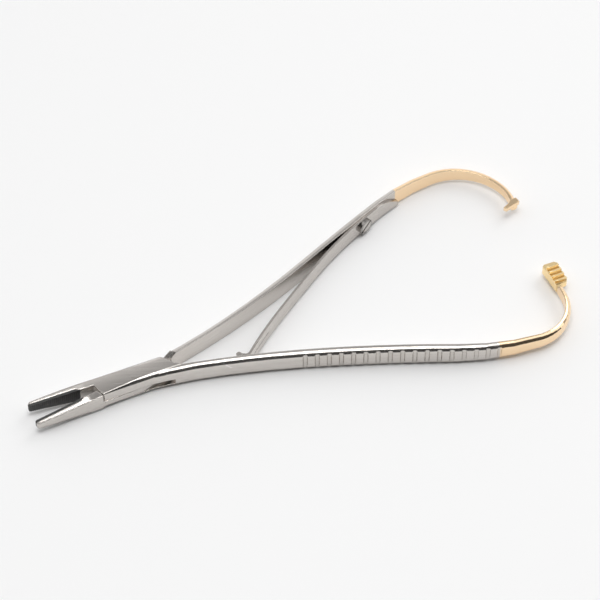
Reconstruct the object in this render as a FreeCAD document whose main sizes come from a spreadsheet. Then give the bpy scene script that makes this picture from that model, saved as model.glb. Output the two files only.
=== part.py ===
import FreeCAD, Part
import Sketcher
import math
import os

# Surgical needle holder with a box lock, millimetres.
# The pivot axis is the Z axis, the tool rests on z = 0, the jaws point to -X and the
# handles to +X. The outer half (box) carries the lower handle at -Y, the inner half
# passes through its slot and carries the upper handle at +Y. Drawn as it rests, open.

Vector = FreeCAD.Vector

SIZES = [
    ("box_height", 6.0),
    ("half_opening", 4.7),
    # box lock
    ("slot_floor", 1.1),
    ("slot_roof", 2.9),
    ("slide_gap", 0.05),
    ("rivet_radius", 1.6),
    ("rivet_gap", 0.03),
    ("box_edge_radius", 1.3),
    # jaws
    ("jaw_tip", 27.2),
    ("jaw_tip_half_height", 1.0),
    ("jaw_root_half_height", 2.42),
    ("insert_start", 14.2),
    ("insert_thickness", 0.75),
    ("serration_pitch", 0.5),
    ("serration_depth", 0.12),
    ("jaw_relief", 0.12),
    # handles
    ("handle_corner", 1.42),
    ("groove_count", 17),
    ("groove_first_x", 40.1),
    ("groove_step_x", 2.81),
    ("groove_width", 1.3),
    ("groove_depth", 0.35),
    ("longest_span", 7.5),
    ("most_turn", 8.0),
    # ratchet and hook
    ("ratchet_low", 1.6),
    ("ratchet_high", 4.2),
    ("tooth_pitch", 1.55),
    ("tooth_depth", 0.6),
    ("tooth_count", 3),
    ("first_tooth_y", 10.45),
    ("teeth_x", 107.15),
    ("hook_low", 3.1),
    ("hook_height", 1.2),
    # leaf spring and its screw
    ("leaf_thickness", 0.66),
    ("leaf_width", 4.6),
    ("leaf_seat_gap", 0.02),
    ("leaf_slit_width", 0.28),
    ("leaf_slit_length", 9.0),
    ("bead_radius", 0.7),
    ("screw_along", 67.0),
    ("screw_seat_gap", 0.02),
    ("screw_head_radius", 2.1),
    ("screw_head_height", 0.8),
    ("screw_shank_radius", 0.9),
    ("screw_depth", 1.35),
    ("screw_slot_turn", 36.0),
    ("screw_slot_width", 0.55),
    ("screw_slot_depth", 0.35),
]

# Inner edge of each handle in plan: start point, heading, then runs of length and turn.
PATHS = {
    "male": ((8.0, 1.10), 11.2, [(45.2, 11.4), (28.9, 0.0), (16.5, -20.8), (18.9, -73.4), (6.8, -32.4)]),
    "female": ((8.0, 1.36), 11.6, [(39.9, 8.2), (31.9, 4.1), (20.8, -20.4), (16.4, -90.1), (9.2, -6.3)]),
}

# Sections of each handle: distance along the inner edge, thickness, drop below the box height.
STATIONS = {
    "male": [
        (-2.0, 1.75, 0.30), (12, 1.62, 0.30), (24, 1.75, 0.24), (36, 1.88, 0.16), (48, 1.90, 0.08),
        (60, 1.90, 0.05), (68, 1.83, 0.22), (75, 1.72, 0.70), (81, 1.64, 1.22), (87, 1.60, 1.65),
        (93, 1.58, 2.08), (99, 1.56, 2.55), (105, 1.54, 3.05), (110, 1.52, 3.50), (115.0, 1.50, 3.60),
    ],
    "female": [
        (-5.0, 2.52, 0.12), (4, 1.86, 0.16), (14, 1.78, 0.14), (26, 1.86, 0.11), (38, 1.95, 0.07),
        (50, 1.95, 0.04), (62, 1.93, 0.04), (70, 1.86, 0.18), (78, 1.74, 0.56), (85, 1.64, 1.00),
        (91, 1.56, 1.40), (97, 1.49, 1.88), (103, 1.44, 2.38), (109, 1.39, 2.85), (118.2, 1.35, 3.30),
    ],
}

SIDE = {"male": 1, "female": -1}

# Plan outlines of the forged halves round the pivot, as they rest.
BOX = [
    (-9.5, -2.5), (-9.2, -2.82), (8.2, -2.95), (11.6, -3.0), (11.6, -2.1), (9.9, -1.0), (6.93, 2.75),
    (-10.5, 3.0),
]
TONGUE = [
    (-9.9, -0.7), (-9.0, 1.4), (-1.0, 2.7), (5.5, 2.75), (8.0, 3.0), (10.6, 3.3), (10.6, 1.7),
    (10.0, 1.35), (9.0, -1.5), (1.0, -2.78), (-8.4, -3.0), (-9.6, -3.05),
]
SLOT = [(-14.45, -4.5), (8.45, -4.5), (14.4, 4.0), (-8.25, 4.0)]
RATCHET = [
    (107.1, -16.2), (108.3, -15.75), (110.3, -15.6), (110.6, -15.2), (110.7, -9.9), (110.0, -9.15),
    (107.2, -9.0), (106.6, -9.5), (106.9, -12.5),
]
HOOK = [(110.8, 12.1), (106.75, 11.2), (106.2, 11.85), (108.2, 12.75), (109.0, 13.6), (110.6, 13.6)]

# Leaf spring in plan: the middle line from the rolled bead to the tip on the upper handle.
LEAF_BEND = (1.6, 70.0)
LEAF_RUNS = [(14.0, -6.34), (20.0, -2.5), (16.0, -9.56)]
LEAF_LEG = 1.5
LEAF_TAIL = 14.2
LEAF_LEAD = 1.2
# The free runs are drawn for this seat, and stretch as if from this root when it moves.
LEAF_SEAT = 65.8
LEAF_ROOT = 4.0

os.makedirs("parts", exist_ok=True)
doc = FreeCAD.newDocument("needle_holder")
sheet = doc.addObject("Spreadsheet::Sheet", "sizes")
for row, (name, value) in enumerate(SIZES, start=1):
    sheet.set("A%d" % row, name)
    sheet.set("B%d" % row, repr(value))
    sheet.setAlias("B%d" % row, name)
doc.recompute()


def size(name):
    return float(sheet.get(name))


MID = size("box_height") / 2
OPEN = math.radians(size("half_opening"))


def walk(start, heading, runs, along):
    """Point and heading reached a distance along straight and curved runs."""
    x, y = start
    if along < 0:
        x += along * math.cos(math.radians(heading))
        y += along * math.sin(math.radians(heading))
        return x, y, heading
    for length, turn in runs:
        step = min(along, length)
        bend = turn * step / length
        half = math.radians(bend / 2)
        chord = step * (math.sin(half) / half if abs(half) > 1e-9 else 1.0)
        x += chord * math.cos(math.radians(heading) + half)
        y += chord * math.sin(math.radians(heading) + half)
        heading += bend
        along -= step
        if along <= 0:
            break
    return x, y, heading


def on_handle(half, along, offset=0.0):
    """Point beside a handle's inner edge, offset outward, and the heading there."""
    start, heading, runs = PATHS[half]
    x, y, heading = walk(start, heading, runs, along)
    turn = math.radians(heading)
    x -= offset * math.sin(turn)
    y += offset * math.cos(turn)
    return x, SIDE[half] * y, SIDE[half] * heading


def level(half, along, column):
    """Thickness (column 1) or drop in height (column 2) of a handle between its stations."""
    rows = STATIONS[half]
    for low, high in zip(rows, rows[1:]):
        if along <= high[0]:
            part = (along - low[0]) / (high[0] - low[0])
            return low[column] + part * (high[column] - low[column])
    return rows[-1][column]


def new_body(label):
    body = doc.addObject("PartDesign::Body", label)
    body.Label = label
    body.Placement = FreeCAD.Placement()
    return body


def new_sketch(body, name, role, offset=None, raised=None):
    """Sketch on one of the body's own origin planes, raised by a named size."""
    sketch = body.newObject("Sketcher::SketchObject", body.Name + "_" + name)
    base = [item for item in body.Origin.OriginFeatures if item.Role == role][0]
    sketch.AttachmentSupport = [(base, "")]
    sketch.MapMode = "FlatFace"
    if offset is not None:
        sketch.AttachmentOffset = offset
    if raised is not None:
        sketch.setExpression("AttachmentOffset.Base.z", raised)
    return sketch


def closed_chain(sketch, pieces):
    """Closed ring of lines and arcs, each starting where the one before ends."""
    first = sketch.GeometryCount
    for piece in pieces:
        sketch.addGeometry(piece, False)
    for index, piece in enumerate(pieces):
        after = (index + 1) % len(pieces)
        if isinstance(piece, Part.LineSegment) and isinstance(pieces[after], Part.LineSegment):
            sketch.addConstraint(Sketcher.Constraint("Coincident", first + index, 2, first + after, 1))


def closed_outline(sketch, points):
    """Closed ring of straight lines through the points, joined end to end."""
    corners = [Vector(x, y, 0) for x, y in points]
    closed_chain(sketch, [Part.LineSegment(a, b) for a, b in zip(corners, corners[1:] + corners[:1])])


def circle(sketch, centre, radius):
    """Circle whose radius is an expression of the named sizes."""
    drawn = sketch.addGeometry(Part.Circle(Vector(*centre, 0), Vector(0, 0, 1), 1.0), False)
    named = sketch.addConstraint(Sketcher.Constraint("Radius", drawn, 1.0))
    sketch.renameConstraint(named, "radius")
    sketch.setExpression("Constraints.radius", radius)


def pad(body, sketch, length):
    feature = body.newObject("PartDesign::Pad", sketch.Name + "_pad")
    feature.Profile = sketch
    feature.setExpression("Length", length)
    sketch.Visibility = False
    return feature


def pocket(body, sketch, length=None, both_ways=False):
    """Cut the sketch out, to a depth or right through both ways."""
    feature = body.newObject("PartDesign::Pocket", sketch.Name + "_cut")
    feature.Profile = sketch
    if length is None:
        feature.Type = "ThroughAll"
    else:
        feature.setExpression("Length", length)
    feature.Midplane = both_ways
    sketch.Visibility = False
    return feature


def section(body, half, along, name):
    """D-shaped section of a handle: flat inside, rounded outside."""
    thick = level(half, along, 1)
    high = size("box_height") - level(half, along, 2)
    corner = min(size("handle_corner"), thick - 0.12, high / 2 - 0.2)
    x, y, heading = on_handle(half, along)
    place = FreeCAD.Placement(Vector(y, 0, x), FreeCAD.Rotation(Vector(0, 1, 0), heading))
    sketch = new_sketch(body, name, "YZ_Plane", offset=place)
    low, top = MID - high / 2, MID + high / 2
    side = SIDE[half]
    edge = side * (thick - corner)
    out = side * thick
    rise = corner * (1 - math.sqrt(0.5))
    diagonal = side * (thick - rise)
    pieces = [
        Part.LineSegment(Vector(0, low, 0), Vector(edge, low, 0)),
        Part.Arc(Vector(edge, low, 0), Vector(diagonal, low + rise, 0), Vector(out, low + corner, 0)),
        Part.LineSegment(Vector(out, low + corner, 0), Vector(out, top - corner, 0)),
        Part.Arc(Vector(out, top - corner, 0), Vector(diagonal, top - rise, 0), Vector(edge, top, 0)),
        Part.LineSegment(Vector(edge, top, 0), Vector(0, top, 0)),
        Part.LineSegment(Vector(0, top, 0), Vector(0, low, 0)),
    ]
    closed_chain(sketch, pieces)
    sketch.Visibility = False
    return sketch


def handle(body, half):
    """Handle lofted through sections set close enough for the bend of each run."""
    marks = [STATIONS[half][0][0], 0.0]
    for length, turn in PATHS[half][2]:
        spans = math.ceil(max(length / size("longest_span"), abs(turn) / size("most_turn")))
        start = marks[-1]
        marks += [start + length * index / spans for index in range(1, spans + 1)]
    sketches = [section(body, half, mark, "section_%d" % index) for index, mark in enumerate(marks)]
    loft = body.newObject("PartDesign::AdditiveLoft", body.Name + "_handle")
    loft.Profile = sketches[0]
    loft.Sections = sketches[1:]
    loft.Ruled = True


def on_jaw(half, reach, offset=0.0):
    """Point on a jaw's gripping line, offset outward from it."""
    side = -SIDE[half]
    x = -reach * math.cos(OPEN) - offset * math.sin(OPEN)
    y = reach * math.sin(OPEN) + offset * math.cos(OPEN)
    return x, side * y


def jaw_outline(half, root_reach, root):
    """Plan outline of a jaw, from its root to the rounded tip and back."""
    tip = size("jaw_tip")
    relief = size("jaw_relief")
    start = size("insert_start")
    points = [on_jaw(half, root_reach, relief), on_jaw(half, start - 0.1, relief)]
    points += [on_jaw(half, start - 0.1, 0.3), on_jaw(half, tip - 0.25), on_jaw(half, tip - 0.07, 0.07)]
    points += [on_jaw(half, tip, 0.25), on_jaw(half, tip - 0.05, 0.65), on_jaw(half, tip - 0.3, 1.05)]
    points += [on_jaw(half, tip - 0.8, 1.38), on_jaw(half, tip - 4.2, 1.62), on_jaw(half, tip - 9.7, 1.88), root]
    return points


def taper_jaws(body):
    """Bring the box and jaws down to the tips, both faces alike: an arc, then a straight taper."""
    sketch = new_sketch(body, "jaw_taper", "XZ_Plane")
    reach = size("jaw_tip")
    full = size("box_height") / 2
    root = size("jaw_root_half_height")
    tip = size("jaw_tip_half_height")
    for way in (1, -1):
        def spot(x, z):
            return Vector(x, MID + way * z, 0)

        line = [(-11.0, root), (0.7 - reach, tip + 0.08), (0.25 - reach, tip - 0.1)]
        line += [(-reach - 0.05, tip - 0.5), (-reach - 2.0, tip - 0.6), (-reach - 2.0, full + 1.0)]
        line += [(4.0, full + 1.0), (4.0, full)]
        corners = [spot(x, z) for x, z in line]
        pieces = [Part.LineSegment(a, b) for a, b in zip(corners, corners[1:])]
        pieces.append(Part.Arc(corners[-1], spot(-3.5, full - (full - root) * 0.25), corners[0]))
        closed_chain(sketch, pieces)
    return pocket(body, sketch, both_ways=True)


def insert_ring(half):
    """Plan outline of the hard insert along a jaw's gripping line."""
    thick = size("insert_thickness")
    start = size("insert_start")
    tip = size("jaw_tip")
    ring = [on_jaw(half, start, 0.0), on_jaw(half, start + 0.7, thick), on_jaw(half, tip + 1.0, thick)]
    return ring + [on_jaw(half, tip + 1.0, -0.5), on_jaw(half, start, -0.5)]


def groove_handle(body, half):
    """Row of upright flutes with sloping walls across the handle's rounded outer side."""
    sketch = new_sketch(body, "grooves", "XY_Plane")
    width = size("groove_width")
    depth = size("groove_depth")
    for index in range(int(size("groove_count"))):
        wanted = size("groove_first_x") + index * size("groove_step_x")
        along = wanted - PATHS[half][0][0]
        for _ in range(30):
            thick = level(half, along, 1)
            along += wanted - on_handle(half, along, thick)[0]
        ring = []
        for shift, deep in ((-0.5, 0.0), (-0.3, 1.0), (0.3, 1.0), (0.5, 0.0), (0.6, -0.5), (-0.6, -0.5)):
            ring.append(on_handle(half, along + shift * width, thick - deep * depth)[:2])
        closed_outline(sketch, ring)
    return pocket(body, sketch, both_ways=True)


def rivet_hole(body, radius):
    sketch = new_sketch(body, "rivet_hole", "XY_Plane")
    circle(sketch, (0, 0), radius)
    return pocket(body, sketch, both_ways=True)


def round_edges(body, name, radius, wanted):
    """Fillet the edges of the body's present shape that the test picks."""
    doc.recompute()
    base = body.Tip
    picked = []
    for index, edge in enumerate(base.Shape.Edges, start=1):
        if wanted(edge):
            picked.append("Edge%d" % index)
    fillet = body.newObject("PartDesign::Fillet", body.Name + "_" + name)
    fillet.Base = (base, picked)
    fillet.setExpression("Radius", radius)
    return fillet


def level_edge(edge):
    return edge.BoundBox.ZLength < 0.01


def female_half():
    body = new_body("female_arm")
    box = new_sketch(body, "box", "XY_Plane")
    closed_outline(box, jaw_outline("female", 10.5, BOX[-1]) + BOX[-2::-1])
    pad(body, box, "sizes.box_height")

    def outer_box_edge(edge):
        spot = edge.BoundBox
        level_sides = level_edge(edge) and spot.XLength > 3
        sides = spot.YMin > 2.6 and spot.YMax < 3.1 or spot.YMin > -3.2 and spot.YMax < -2.6
        return level_sides and sides and spot.XMin > -11 and spot.XMax < 9

    round_edges(body, "box_edges", "sizes.box_edge_radius", outer_box_edge)
    taper_jaws(body)
    handle(body, "female")
    slot = new_sketch(body, "slot", "XY_Plane", raised="sizes.slot_roof")
    closed_outline(slot, SLOT)
    pocket(body, slot, "sizes.slot_roof - sizes.slot_floor")
    seat = new_sketch(body, "insert_seat", "XY_Plane")
    closed_outline(seat, insert_ring("female"))
    pocket(body, seat, both_ways=True)
    rivet_hole(body, "sizes.rivet_radius")
    groove_handle(body, "female")
    block = new_sketch(body, "ratchet_block", "XY_Plane", raised="sizes.ratchet_low")
    closed_outline(block, RATCHET)
    pad(body, block, "sizes.ratchet_high - sizes.ratchet_low")
    teeth = new_sketch(body, "ratchet_teeth", "YZ_Plane", raised="sizes.teeth_x")
    top = size("ratchet_high")
    pitch = size("tooth_pitch")
    depth = size("tooth_depth")
    far = -size("first_tooth_y")
    for _ in range(int(size("tooth_count"))):
        near = far - pitch * 0.72
        closed_outline(teeth, [(far, top + 0.4), (far, top - depth), (near, top), (near, top + 0.4)])
        far -= pitch
    low = top - 1.5 * depth
    step = [(far, top + 0.4), (far, low), (far - 0.5, low), (far - 0.5, top - depth)]
    closed_outline(teeth, step + [(-17.0, top - depth), (-17.0, top + 0.4)])
    cut = pocket(body, teeth, "sizes.tooth_count + sizes.tooth_pitch")
    cut.Reversed = True
    return body


def male_half():
    body = new_body("male_arm")
    handle(body, "male")
    core = new_sketch(body, "tongue", "XY_Plane")
    closed_outline(core, jaw_outline("male", 10.6, TONGUE[-1]) + TONGUE[-2::-1])
    pad(body, core, "sizes.box_height")
    taper_jaws(body)

    # Room for the two cheeks of the box, set by where they stand when the jaws meet.
    room = [(-11.62, 1.09), (-8.9, -4.42), (12.35, -4.42), (12.35, -1.39), (6.25, 4.27), (-11.62, 4.27)]
    upper = new_sketch(body, "upper_cheek_room", "XY_Plane", raised="sizes.box_height")
    closed_outline(upper, room)
    pocket(body, upper, "sizes.box_height - sizes.slot_roof + sizes.slide_gap")
    lower = new_sketch(body, "lower_cheek_room", "XY_Plane")
    closed_outline(lower, room)
    cut = pocket(body, lower, "sizes.slot_floor + sizes.slide_gap")
    cut.Reversed = True

    # Sloping faces where the forging rises beside the upper cheek.
    roof = size("slot_roof") - size("slide_gap")
    above = size("box_height") + 0.4
    slopes = [
        ("rear_slope", 20.0, [(8.2, roof), (12.0, above), (7.6, above)]),
        ("front_slope", -39.7, [(-8.15, above), (-5.4, roof), (-4.4, roof), (-4.4, above)]),
    ]
    for name, turn, ring in slopes:
        spin = FreeCAD.Placement(Vector(0, 0, 0), FreeCAD.Rotation(Vector(0, 1, 0), turn))
        slope = new_sketch(body, name, "XZ_Plane", offset=spin)
        closed_outline(slope, ring)
        cut = body.newObject("PartDesign::Pocket", slope.Name + "_cut")
        cut.Profile = slope
        cut.Length = 14
        cut.Midplane = True
        slope.Visibility = False

    seat = new_sketch(body, "insert_seat", "XY_Plane")
    closed_outline(seat, insert_ring("male"))
    pocket(body, seat, both_ways=True)
    rivet_hole(body, "sizes.rivet_radius + sizes.rivet_gap")
    groove_handle(body, "male")
    hook = new_sketch(body, "hook", "XY_Plane", raised="sizes.hook_low")
    closed_outline(hook, HOOK)
    pad(body, hook, "sizes.hook_height")
    x, y, heading = on_handle("male", size("screw_along"), size("screw_depth"))
    hole = new_sketch(body, "screw_hole", "XZ_Plane", offset=screw_plane(x, y, heading))
    circle(hole, (0, 0), "sizes.screw_shank_radius")
    cut = pocket(body, hole, "sizes.screw_depth + 0.3")
    cut.Reversed = True
    return body


def screw_plane(x, y, heading):
    """Offset on the XZ plane that faces the handle's inner side at a point."""
    return FreeCAD.Placement(Vector(x, MID, -y), FreeCAD.Rotation(Vector(0, 1, 0), heading))


def jaw_insert(half):
    """Hard insert with fine cross grooves on its gripping face."""
    body = new_body(half + "_jaw_insert")
    plan = new_sketch(body, "plan", "XY_Plane")
    thick = size("insert_thickness")
    start = size("insert_start")
    tip = size("jaw_tip")
    ring = [on_jaw(half, start), on_jaw(half, start + 0.7, thick), on_jaw(half, tip - 0.13, thick)]
    ring += [on_jaw(half, tip, 0.25), on_jaw(half, tip - 0.07, 0.07), on_jaw(half, tip - 0.25)]
    closed_outline(plan, ring)
    pad(body, plan, "sizes.box_height")
    taper_jaws(body)
    cuts = new_sketch(body, "serration", "XY_Plane")
    pitch = size("serration_pitch")
    depth = size("serration_depth")
    for index in range(int((tip - start - 1.0) / pitch)):
        reach = start + 0.6 + index * pitch
        mouth = [on_jaw(half, reach - 0.1, -0.01), on_jaw(half, reach + 0.1, -0.01)]
        closed_outline(cuts, mouth + [on_jaw(half, reach, depth)])
    pocket(body, cuts, both_ways=True)
    return body


def leaf_line():
    """Start of the leaf's middle line at the bead and its runs up to the tip.

    It is set out from the screw. The rest bends away from the handle, and the tail follows
    the handle's bend with a small lead, so that its end stands just clear.
    """
    seat = size("screw_along") - 1.2
    x, y, heading = on_handle("male", seat, -size("leaf_seat_gap") - size("leaf_thickness") / 2)
    stretch = (seat - LEAF_ROOT) / (LEAF_SEAT - LEAF_ROOT)
    front = [(LEAF_LEG, 0.0), LEAF_BEND] + [(length * stretch, turn) for length, turn in LEAF_RUNS]
    back = [(length, -turn) for length, turn in reversed(front)]
    reach = sum(length for length, _ in back)
    x, y, turned = walk((x, y), heading + 180, back, reach - 1e-9)
    tail = []
    passed = 0.0
    for length, turn in PATHS["male"][2]:
        low = max(seat, passed - LEAF_LEAD)
        high = min(seat + LEAF_TAIL, passed + length - LEAF_LEAD)
        if high > low:
            tail.append((high - low, turn * (high - low) / length))
        passed += length
    return (x, y), turned - 180, front + tail


def ribbon(sketch, start, heading, runs, thick):
    """Closed ribbon of even thickness along the runs, made of lines and arcs."""
    total = sum(length for length, _ in runs)
    marks = [0.0]
    for length, _ in runs:
        marks.append(marks[-1] + length)

    def spot(along, offset):
        x, y, turned = walk(start, heading, runs, min(along, total - 1e-9))
        turned = math.radians(turned)
        return Vector(x - offset * math.sin(turned), y + offset * math.cos(turned), 0)

    pieces = []
    for offset in (-thick / 2, thick / 2):
        side = []
        for index, (_, turn) in enumerate(runs):
            low, high = marks[index], marks[index + 1]
            ends = spot(low, offset), spot(high, offset)
            if abs(turn) < 1e-6:
                side.append(Part.LineSegment(*ends))
            else:
                side.append(Part.Arc(ends[0], spot((low + high) / 2, offset), ends[1]))
        pieces.append((side, spot(0, offset), spot(total, offset)))
    for side, _, _ in pieces:
        for piece in side:
            sketch.addGeometry(piece, False)
    sketch.addGeometry(Part.LineSegment(pieces[0][1], pieces[1][1]), False)
    sketch.addGeometry(Part.LineSegment(pieces[0][2], pieces[1][2]), False)


def leaf_spring():
    body = new_body("leaf_spring")
    start, heading, runs = leaf_line()
    thick = size("leaf_thickness")
    plan = new_sketch(body, "plan", "XY_Plane", raised="sizes.box_height / 2 - sizes.leaf_width / 2")
    ribbon(plan, start, heading, runs, thick)
    pad(body, plan, "sizes.leaf_width")
    bead = new_sketch(body, "bead", "XY_Plane", raised="sizes.box_height / 2 - sizes.leaf_width / 2")
    circle(bead, start, "sizes.bead_radius")
    pad(body, bead, "sizes.leaf_width")

    # The tip's upper edge sweeps down to a blunt point near the lower edge.
    half = size("leaf_width") / 2
    tip = on_handle("male", size("screw_along") - 1.2 + LEAF_TAIL)[0]
    shape = new_sketch(body, "tip", "XZ_Plane")
    ring = [(tip - 0.1, -half * 0.5), (tip - 0.3, -half - 1.0), (tip + 3.0, -half - 1.0)]
    ring += [(tip + 3.0, half + 1.0), (tip - 10.0, half + 1.0), (tip - 10.0, half)]
    corners = [Vector(x, MID + z, 0) for x, z in ring]
    sweep = Part.Arc(corners[-1], Vector(tip - 3.9, MID + half * 0.62, 0), corners[0])
    closed_chain(shape, [sweep] + [Part.LineSegment(a, b) for a, b in zip(corners, corners[1:])])
    pocket(body, shape, both_ways=True)
    slit = new_sketch(body, "slit", "XZ_Plane")
    wide = size("leaf_slit_width") / 2
    far = start[0] + size("leaf_slit_length")
    ring = [(start[0] - 3.0, -wide), (far, -wide), (far + 0.2, -1.9 * wide), (far + 1.2, 0.0)]
    ring += [(far + 0.2, 1.9 * wide), (far, wide), (start[0] - 3.0, wide)]
    closed_outline(slit, [(x, MID + z) for x, z in ring])
    pocket(body, slit, both_ways=True)
    x, y, turned = on_handle("male", size("screw_along"), -size("leaf_thickness"))
    hole = new_sketch(body, "screw_hole", "XZ_Plane", offset=screw_plane(x, y, turned))
    circle(hole, (0, 0), "sizes.screw_shank_radius")
    pocket(body, hole, "6 * sizes.leaf_thickness", both_ways=True)
    return body


def spring_screw():
    """Slotted cheese-head screw with its blind shank, square to the handle's inner side."""
    body = new_body("spring_screw")
    seat = size("leaf_seat_gap") + size("leaf_thickness") + size("screw_seat_gap")
    x, y, heading = on_handle("male", size("screw_along"), -seat)
    head = new_sketch(body, "head", "XZ_Plane", offset=screw_plane(x, y, heading))
    circle(head, (0, 0), "sizes.screw_head_radius")
    pad(body, head, "sizes.screw_head_height")
    shank = new_sketch(body, "shank", "XZ_Plane", offset=screw_plane(x, y, heading))
    circle(shank, (0, 0), "sizes.screw_shank_radius")
    under_head = "sizes.leaf_seat_gap + sizes.leaf_thickness + sizes.screw_seat_gap"
    stem = pad(body, shank, "sizes.screw_depth + " + under_head)
    stem.Reversed = True
    x, y, _ = on_handle("male", size("screw_along"), -seat - size("screw_head_height"))
    slot = new_sketch(body, "slot", "XZ_Plane", offset=screw_plane(x, y, heading))
    reach = size("screw_head_radius") + 0.5
    wide = size("screw_slot_width") / 2
    turn = math.radians(size("screw_slot_turn"))
    ring = []
    for u, v in [(-reach, -wide), (reach, -wide), (reach, wide), (-reach, wide)]:
        ring.append((u * math.cos(turn) - v * math.sin(turn), u * math.sin(turn) + v * math.cos(turn)))
    closed_outline(slot, ring)
    pocket(body, slot, "sizes.screw_slot_depth")
    return body


def pivot_rivet():
    rivet = doc.addObject("Part::Cylinder", "pivot_rivet")
    rivet.Label = "pivot_rivet"
    rivet.setExpression("Radius", "sizes.rivet_radius")
    rivet.setExpression("Height", "sizes.box_height")
    rivet.Placement = FreeCAD.Placement()
    return rivet


pieces = [
    female_half(), male_half(), jaw_insert("female"), jaw_insert("male"), pivot_rivet(), leaf_spring(),
    spring_screw(),
]
doc.recompute()
for item in doc.Objects:
    if "Invalid" in item.State or "Error" in item.State:
        raise RuntimeError("object in error: " + item.Name)
for piece in pieces:
    if piece.Shape.isNull() or not piece.Shape.isValid() or len(piece.Shape.Solids) != 1:
        raise RuntimeError("shape not sound: " + piece.Label)
    piece.Shape.exportStep("parts/%s.step" % piece.Label)
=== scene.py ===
import math

import bmesh
import bpy
from mathutils import Matrix, Vector


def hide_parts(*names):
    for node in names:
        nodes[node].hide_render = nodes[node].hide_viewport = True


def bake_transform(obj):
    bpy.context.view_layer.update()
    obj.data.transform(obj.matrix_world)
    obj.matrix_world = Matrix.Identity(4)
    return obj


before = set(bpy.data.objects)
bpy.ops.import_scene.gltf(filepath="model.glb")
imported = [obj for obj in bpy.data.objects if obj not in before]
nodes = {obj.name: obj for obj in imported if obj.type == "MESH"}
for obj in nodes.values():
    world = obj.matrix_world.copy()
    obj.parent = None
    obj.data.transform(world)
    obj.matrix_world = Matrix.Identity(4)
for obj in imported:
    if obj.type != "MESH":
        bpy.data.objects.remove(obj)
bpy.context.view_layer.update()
scene = bpy.context.scene

# Places and sizes are in metres, on the frame's axes.
# Where the gold plating starts on each handle, along X.
GOLD_START = {"male_arm": 0.0826, "female_arm": 0.0853}
# The toothed block lies nearer to the middle line than this, along Y.
BLOCK_REACH = 0.0165
# Milled grooves of both handles: middle of the first one along X, and the step to the next.
FIRST_GROOVE = 0.0401
GROOVE_STEP = 0.00281
# Where a jaw's finish passes into that of the box, and half the width of that passage, along X.
JAW_ROOT = -0.013
PASSAGE = 0.0005
# Slope of the jaws' upper and lower faces, which fall away outwards.
JAW_LEAN = 0.27
# Crown of the box: where it is highest along Y, and how it drops with the square of the
# distance from there. It fades out along the handle between these two places along X.
CROWN_MIDDLE = -0.00225
CROWN_DROP = 20.0
CROWN_FADE = (0.012, 0.020)
# The short bright line lies where X and Z add up to this, above this height.
BRIGHT_LINE_PLACE = 0.0265
BRIGHT_LINE_BOTTOM = 0.0038
# Radius to which polishing has rounded the edges of the jaws and of the handles.
JAW_EDGE = 0.0011
HANDLE_EDGE = 0.0003
# Within this distance of the pivot axis no edge is rounded, so that the rivet lies flush.
RIVET_CALM = 0.0021
# Middle and radius of the screw's head.
SCREW_HEAD = (0.0717, 0.0223, 0.003)
SCREW_HEAD_RADIUS = 0.0021

# Leaf spring: where its cuts across it start along X, the step between them, and how many there are.
LEAF_CUTS_FROM = 0.027
LEAF_CUT_STEP = 0.001
LEAF_CUTS = 56

# Base colours of the metals.
DARK_STEEL = (0.55, 0.515, 0.485)
MIDDLE_STEEL = (0.66, 0.625, 0.59)
PALE_STEEL = (0.77, 0.74, 0.70)
# Painted highlight along the middles of the milled flutes.
FLUTE_HIGHLIGHT_STEEL = (0.91, 0.88, 0.83)
# Near-white colour of the short slanted line on the lower handle.
BRIGHT_LINE_STEEL = (1.0, 0.99, 0.98)
GOLD = (0.98, 0.72, 0.45)
PALE_GOLD = (1.0, 0.785, 0.54)
MATT_GOLD = (1.0, 0.77, 0.42)


def material(name, metallic, roughness, colour=(0.8, 0.8, 0.8)):
    """New node material with a Principled surface, returned with its tree and surface."""
    made = bpy.data.materials.new(name)
    made.use_nodes = True
    tree = made.node_tree
    surface = tree.nodes["Principled BSDF"]
    surface.inputs["Metallic"].default_value = metallic
    surface.inputs["Roughness"].default_value = roughness
    surface.inputs["Base Color"].default_value = (*colour, 1.0)
    return made, tree, surface


def coordinates(tree, heading=None, along=60.0, across=2500.0):
    """Object coordinates, or a brushing direction's own: slow along it, fast across it."""
    place = tree.nodes.new("ShaderNodeTexCoord").outputs["Object"]
    if heading is None:
        return place
    mapping = tree.nodes.new("ShaderNodeMapping")
    mapping.vector_type = "TEXTURE"
    mapping.inputs["Rotation"].default_value = (0.0, 0.0, math.radians(heading))
    mapping.inputs["Scale"].default_value = (1 / along, 1 / across, 1 / across)
    tree.links.new(place, mapping.inputs["Vector"])
    return mapping.outputs["Vector"]


def axis_part(tree, axis, output="Object"):
    """One axis of the object coordinates or of the normal."""
    split = tree.nodes.new("ShaderNodeSeparateXYZ")
    place = tree.nodes.new("ShaderNodeTexCoord")
    tree.links.new(place.outputs[output], split.inputs["Vector"])
    return split.outputs[axis]


def noise(tree, vector, scale, detail=3.0):
    """Smooth noise from 0 to 1."""
    node = tree.nodes.new("ShaderNodeTexNoise")
    node.inputs["Scale"].default_value = scale
    node.inputs["Detail"].default_value = detail
    tree.links.new(vector, node.inputs["Vector"])
    return node.outputs["Fac"]


def remap(tree, value, low, high, to_low, to_high, smooth=False):
    """Value brought from one range into another and held at its ends."""
    node = tree.nodes.new("ShaderNodeMapRange")
    if smooth:
        node.interpolation_type = "SMOOTHSTEP"
    node.inputs["From Min"].default_value = low
    node.inputs["From Max"].default_value = high
    node.inputs["To Min"].default_value = to_low
    node.inputs["To Max"].default_value = to_high
    tree.links.new(value, node.inputs["Value"])
    return node.outputs["Result"]


def feed(tree, socket, value):
    """Give a socket a number, a colour or a link."""
    if isinstance(value, float):
        socket.default_value = value
    elif isinstance(value, tuple):
        socket.default_value = (*value, 1.0)
    else:
        tree.links.new(value, socket)


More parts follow.
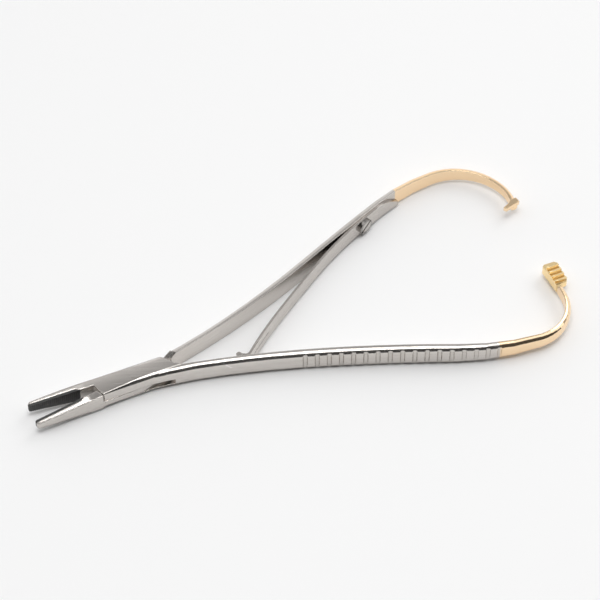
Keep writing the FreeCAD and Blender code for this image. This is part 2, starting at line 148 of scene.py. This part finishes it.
def math_node(tree, operation, *values):
    """Result of one operation on numbers or links."""
    node = tree.nodes.new("ShaderNodeMath")
    node.operation = operation
    for socket, value in zip(node.inputs, values):
        feed(tree, socket, value)
    return node.outputs["Value"]


def product(tree, first, *others):
    """All the values multiplied."""
    for other in others:
        first = math_node(tree, "MULTIPLY", first, other)
    return first


def mix_colours(tree, factor, first, second):
    """First colour where the factor is 0, second where it is 1."""
    node = tree.nodes.new("ShaderNodeMix")
    node.data_type = "RGBA"
    tree.links.new(factor, node.inputs["Factor"])
    feed(tree, node.inputs[6], first)
    feed(tree, node.inputs[7], second)
    return node.outputs[2]


def relief(tree, height, strength, distance, normal):
    """Normal leaned by a height."""
    node = tree.nodes.new("ShaderNodeBump")
    feed(tree, node.inputs["Strength"], strength)
    feed(tree, node.inputs["Distance"], distance)
    tree.links.new(normal, node.inputs["Normal"])
    tree.links.new(height, node.inputs["Height"])
    return node.outputs["Normal"]


def soft_normal(tree, radius=0.0001):
    """Normal over edges that are rounded by polishing."""
    node = tree.nodes.new("ShaderNodeBevel")
    node.samples = 6
    feed(tree, node.inputs["Radius"], radius)
    return node.outputs["Normal"]


def edge_radius(tree):
    """Radius of the polished edges: large on the jaws, small on the handles, none at the rivet."""
    along = axis_part(tree, "X")
    across = axis_part(tree, "Y")
    radius = remap(tree, along, JAW_ROOT - PASSAGE, JAW_ROOT + PASSAGE, JAW_EDGE, HANDLE_EDGE)
    squares = math_node(tree, "ADD", product(tree, along, along), product(tree, across, across))
    from_pivot = math_node(tree, "SQRT", squares)
    return product(tree, radius, remap(tree, from_pivot, RIVET_CALM, RIVET_CALM + 0.0001, 0.02, 1.0))


def crowned_box(tree, normal):
    """Normal over the top and bottom of the box, which are ground to a slight crown."""
    along = axis_part(tree, "X")
    aside = math_node(tree, "SUBTRACT", axis_part(tree, "Y"), CROWN_MIDDLE)
    height = product(tree, aside, aside, -CROWN_DROP)
    behind_jaws = remap(tree, along, JAW_ROOT - PASSAGE, JAW_ROOT + PASSAGE, 0.0, 1.0)
    before_handle = remap(tree, along, *CROWN_FADE, 1.0, 0.0)
    return relief(tree, height, product(tree, behind_jaws, before_handle), 1.0, normal)


def leaning_jaws(tree, normal):
    """Normal over the top and bottom of the jaws, which fall away outwards."""
    height = product(tree, math_node(tree, "ABSOLUTE", axis_part(tree, "Y")), -JAW_LEAN)
    along = axis_part(tree, "X")
    on_jaws = remap(tree, along, JAW_ROOT - PASSAGE, JAW_ROOT + PASSAGE, 1.0, 0.0)
    return relief(tree, height, on_jaws, 1.0, normal)


def bright_line(tree, outside):
    """Mask of the short near-white line that slants down the lower handle near the box."""
    height = axis_part(tree, "Z")
    slant = math_node(tree, "ADD", axis_part(tree, "X"), height)
    offset = math_node(tree, "ABSOLUTE", math_node(tree, "SUBTRACT", slant, BRIGHT_LINE_PLACE))
    thin = remap(tree, offset, 0.00007, 0.00014, 1.0, 0.0)
    upper = remap(tree, height, BRIGHT_LINE_BOTTOM - 0.0001, BRIGHT_LINE_BOTTOM + 0.0001, 0.0, 1.0)
    return product(tree, thin, upper, outside)


def flute_highlights(tree, along, outside):
    """Mask of the painted highlight along the middles of the milled flutes on a handle's outer side.
    """
    shift = 0.5 - FIRST_GROOVE / GROOVE_STEP
    steps = math_node(tree, "FRACT", remap(tree, along, 0.0, GROOVE_STEP, shift, shift + 1.0))
    offset = math_node(tree, "ABSOLUTE", math_node(tree, "SUBTRACT", steps, 0.5))
    flute_highlight = remap(tree, offset, 0.12, 0.24, 1.0, 0.0, True)
    started = remap(tree, along, FIRST_GROOVE - 0.0016, FIRST_GROOVE - 0.0014, 0.0, 1.0)
    return product(tree, flute_highlight, outside, started)


def steel(name, heading, outward=0.0, gold_start=None):
    """Satin forged steel, brushed along its heading.

    The milled flutes on the outward side get a painted highlight along their middles, and past
    gold_start it is gold plated.
    """
    made, tree, surface = material(name, 1.0, 0.2)
    brushed = noise(tree, coordinates(tree, heading), 1.0, 4.0)
    cloudy = noise(tree, coordinates(tree), 70.0, 2.0)
    colour = mix_colours(tree, cloudy, DARK_STEEL, MIDDLE_STEEL)
    colour = mix_colours(tree, remap(tree, brushed, 0.35, 0.65, 0.0, 0.35), colour, PALE_STEEL)
    roughness = remap(tree, brushed, 0.3, 0.7, 0.16, 0.26)
    normal = soft_normal(tree, edge_radius(tree))
    if outward <= 0:
        normal = crowned_box(tree, normal)
    normal = leaning_jaws(tree, normal)
    tree.links.new(relief(tree, brushed, 0.10, 0.00004, normal), surface.inputs["Normal"])
    if gold_start is not None:
        along = axis_part(tree, "X")
        facing = product(tree, axis_part(tree, "Y", "Normal"), outward)
        outside = remap(tree, facing, 0.2, 0.6, 0.0, 1.0)
        # Painted highlight along the middles of the milled flutes on the outward side.
        colour = mix_colours(tree, flute_highlights(tree, along, outside), colour, FLUTE_HIGHLIGHT_STEEL)
        if outward < 0:
            # Near-white short line slanting down the outer side of the lower handle.
            colour = mix_colours(tree, bright_line(tree, outside), colour, BRIGHT_LINE_STEEL)
        zone = remap(tree, along, gold_start - 0.0002, gold_start + 0.0002, 0.0, 1.0, True)
        colour, roughness = plated(tree, zone, outward, cloudy, colour, roughness)
    tree.links.new(colour, surface.inputs["Base Color"])
    tree.links.new(roughness, surface.inputs["Roughness"])
    return made


def plated(tree, zone, outward, cloudy, colour, roughness):
    """Colour and roughness with gold in a zone. It is polished, and matt on the toothed block."""
    gold = mix_colours(tree, cloudy, GOLD, PALE_GOLD)
    bare = math_node(tree, "SUBTRACT", 1.0, zone)
    roughness = math_node(tree, "ADD", product(tree, bare, roughness), product(tree, zone, 0.11))
    if outward < 0:
        aside = math_node(tree, "ABSOLUTE", axis_part(tree, "Y"))
        matt = remap(tree, aside, BLOCK_REACH - 0.0003, BLOCK_REACH + 0.0003, 1.0, 0.0)
        matt = product(tree, matt, zone)
        gold = mix_colours(tree, matt, gold, MATT_GOLD)
        roughness = math_node(tree, "ADD", roughness, product(tree, matt, 0.17))
    return mix_colours(tree, zone, colour, gold), roughness


def carbide():
    """Dark hard-metal insert with a fine grain."""
    made, tree, surface = material("carbide", 0.8, 0.42)
    grain = noise(tree, coordinates(tree), 900.0)
    colour = mix_colours(tree, grain, (0.05, 0.05, 0.05), (0.12, 0.118, 0.115))
    tree.links.new(colour, surface.inputs["Base Color"])
    tree.links.new(remap(tree, grain, 0.3, 0.7, 0.34, 0.5), surface.inputs["Roughness"])
    normal = relief(tree, grain, 0.25, 0.00005, soft_normal(tree))
    tree.links.new(normal, surface.inputs["Normal"])
    return made


def spring_finish():
    """Satin spring strip with lengthwise grinding lines."""
    made, tree, surface = material("spring_strip", 1.0, 0.2)
    lines = noise(tree, coordinates(tree, 35.0, 50.0, 3000.0), 1.0)
    colour = mix_colours(tree, lines, (0.52, 0.485, 0.455), MIDDLE_STEEL)
    tree.links.new(colour, surface.inputs["Base Color"])
    tree.links.new(remap(tree, lines, 0.3, 0.7, 0.17, 0.3), surface.inputs["Roughness"])
    normal = relief(tree, lines, 0.08, 0.00004, soft_normal(tree))
    tree.links.new(normal, surface.inputs["Normal"])
    return made


def screw_finish():
    """Turned screw with fine rings on its head and painted shade around the head's rim."""
    made, tree, surface = material("turned_screw", 1.0, 0.24)
    reach = tree.nodes.new("ShaderNodeVectorMath")
    reach.operation = "DISTANCE"
    tree.links.new(coordinates(tree), reach.inputs[0])
    reach.inputs[1].default_value = SCREW_HEAD
    from_middle = reach.outputs["Value"]
    rings = math_node(tree, "SINE", remap(tree, from_middle, 0.0, 0.001, 0.0, 22.0))
    cloudy = noise(tree, coordinates(tree), 1200.0, 2.0)
    face = mix_colours(tree, cloudy, (0.48, 0.455, 0.43), (0.66, 0.63, 0.60))
    # Painted shade: the head's rim and side are coloured darker than its face.
    rim_shade_start = SCREW_HEAD_RADIUS - 0.00024
    rim_shade = remap(tree, from_middle, rim_shade_start, rim_shade_start + 0.00008, 0.0, 1.0)
    tree.links.new(mix_colours(tree, rim_shade, face, (0.30, 0.285, 0.27)), surface.inputs["Base Color"])
    normal = relief(tree, rings, 0.2, 0.00003, soft_normal(tree))
    tree.links.new(normal, surface.inputs["Normal"])
    return made


def dress(node, made):
    """Give a CAD node one material, without touching its shape."""
    node.data.materials.clear()
    node.data.materials.append(made)


def bending_leaf(node):
    """Copy of the leaf spring's solid, cut across at close steps along X."""
    mesh = node.data.copy()
    mesh.name = "leaf_spring_strip"
    shape = bmesh.new()
    shape.from_mesh(mesh)
    for step in range(LEAF_CUTS):
        geometry = shape.verts[:] + shape.edges[:] + shape.faces[:]
        place = (LEAF_CUTS_FROM + step * LEAF_CUT_STEP, 0, 0)
        bmesh.ops.bisect_plane(shape, geom=geometry, plane_co=place, plane_no=(1, 0, 0))
    shape.to_mesh(mesh)
    shape.free()
    mesh.materials.clear()
    mesh.materials.append(spring_finish())
    strip = bpy.data.objects.new("leaf_spring_strip", mesh)
    scene.collection.objects.link(strip)
    return strip


dress(nodes["female_arm"], steel("forged_steel_lower", -20.0, -1.0, GOLD_START["female_arm"]))
dress(nodes["male_arm"], steel("forged_steel_upper", 20.0, 1.0, GOLD_START["male_arm"]))
insert_look = carbide()
dress(nodes["female_jaw_insert"], insert_look)
dress(nodes["male_jaw_insert"], insert_look)
dress(nodes["pivot_rivet"], steel("rivet_steel", -20.0))
dress(nodes["spring_screw"], screw_finish())

leaf = bending_leaf(nodes["leaf_spring"])
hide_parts("leaf_spring")
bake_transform(leaf)


def stand(name, data, place, aim):
    """New object at a place, turned so that its Z axis points away from what it aims at."""
    made = bpy.data.objects.new(name, data)
    scene.collection.objects.link(made)
    turn = (Vector(place) - Vector(aim)).to_track_quat("Z", "Y")
    made.matrix_world = Matrix.Translation(place) @ turn.to_matrix().to_4x4()
    return made


def white_floor():
    """Pale floor, far larger than the object, in the plane on which it rests."""
    reach = 3.0
    corners = [(-reach, -reach, 0), (reach, -reach, 0), (reach, reach, 0), (-reach, reach, 0)]
    mesh = bpy.data.meshes.new("floor")
    mesh.from_pydata(corners, [], [(0, 1, 2, 3)])
    mesh.materials.append(material("floor_white", 0.0, 0.9, (0.93, 0.93, 0.93))[0])
    return stand("floor", mesh, (0.05, 0.0, 0.0), (0.05, 0.0, -1.0))


def lamp(name, power, place):
    """Soft square lamp that shines on the object."""
    light = bpy.data.lights.new(name, "AREA")
    light.energy = power
    light.shape = "RECTANGLE"
    light.size, light.size_y = 0.5, 0.5
    return stand(name, light, place, (0.05, 0.0, 0.0))


white_floor()
lamp("key", 3.4, (0.0, -0.10, 1.0))
lamp("fill", 1.7, (0.75, 0.25, 0.7))

# Studio surround: a dark room in front, a bright canopy overhead, a grey wall behind. Each
# level stands at its part of the half turn from the front horizon over the top to the back.
SURROUND = [
    (0.00, 0.05), (0.40, 0.06), (0.44, 1.0), (0.61, 1.0), (0.66, 0.18), (0.70, 0.34), (0.76, 0.46),
    (0.84, 0.80), (1.00, 0.80),
]
SURROUND_STRENGTH = 1.2
SURROUND_FRONT = (-0.4056, -0.9140, 0.0)


def studio():
    """World that lights the object with the surround. The camera sees plain white instead."""
    world = bpy.data.worlds.new("studio")
    world.use_nodes = True
    tree = world.node_tree
    way = tree.nodes.new("ShaderNodeTexCoord").outputs["Generated"]
    front = tree.nodes.new("ShaderNodeVectorMath")
    front.operation = "DOT_PRODUCT"
    tree.links.new(way, front.inputs[0])
    front.inputs[1].default_value = SURROUND_FRONT
    height = tree.nodes.new("ShaderNodeSeparateXYZ")
    tree.links.new(way, height.inputs["Vector"])
    angle = math_node(tree, "ARCTAN2", height.outputs["Z"], front.outputs["Value"])
    ramp = tree.nodes.new("ShaderNodeValToRGB")
    tree.links.new(remap(tree, angle, 0.0, math.pi, 0.0, 1.0), ramp.inputs["Fac"])
    stops = ramp.color_ramp.elements
    for place, level in SURROUND[1:-1]:
        stops.new(place)
    for stop, (place, level) in zip(stops, SURROUND):
        stop.position = place
        stop.color = (level, level, level, 1.0)
    surround = tree.nodes["Background"]
    surround.inputs["Strength"].default_value = SURROUND_STRENGTH
    tree.links.new(ramp.outputs["Color"], surround.inputs["Color"])
    white = tree.nodes.new("ShaderNodeBackground")
    white.inputs["Color"].default_value = (1.0, 1.0, 1.0, 1.0)
    either = tree.nodes.new("ShaderNodeMixShader")
    seen = tree.nodes.new("ShaderNodeLightPath").outputs["Is Camera Ray"]
    tree.links.new(seen, either.inputs["Fac"])
    tree.links.new(surround.outputs["Background"], either.inputs[1])
    tree.links.new(white.outputs["Background"], either.inputs[2])
    tree.links.new(either.outputs["Shader"], tree.nodes["World Output"].inputs["Surface"])
    return world


scene.world = studio()
scene.view_settings.view_transform = "Standard"

# Camera as in the photograph: heading and tilt in degrees, what it aims at and from how far.
CAMERA_HEADING = 23.93
CAMERA_TILT = 51.87
CAMERA_TARGET = (0.04685, 0.00643, 0.003)
CAMERA_DISTANCE = 0.75


def photo_camera():
    """Long lens that looks down on the object from the front left."""
    lens = bpy.data.cameras.new("camera")
    lens.lens = 180.0
    lens.sensor_width = 36.0
    lens.sensor_fit = "HORIZONTAL"
    lens.clip_start = 0.01
    lens.clip_end = 20.0
    made = bpy.data.objects.new("camera", lens)
    scene.collection.objects.link(made)
    side, tilt = math.radians(CAMERA_HEADING), math.radians(CAMERA_TILT)
    ahead = (math.sin(side) * math.cos(tilt), math.cos(side) * math.cos(tilt), -math.sin(tilt))
    forward = Vector(ahead)
    right = Vector((math.cos(side), -math.sin(side), 0.0))
    turn = Matrix((right, right.cross(forward), -forward)).transposed().to_4x4()
    place = Vector(CAMERA_TARGET) - CAMERA_DISTANCE * forward
    made.matrix_world = Matrix.Translation(place) @ turn
    return made


scene.camera = photo_camera()
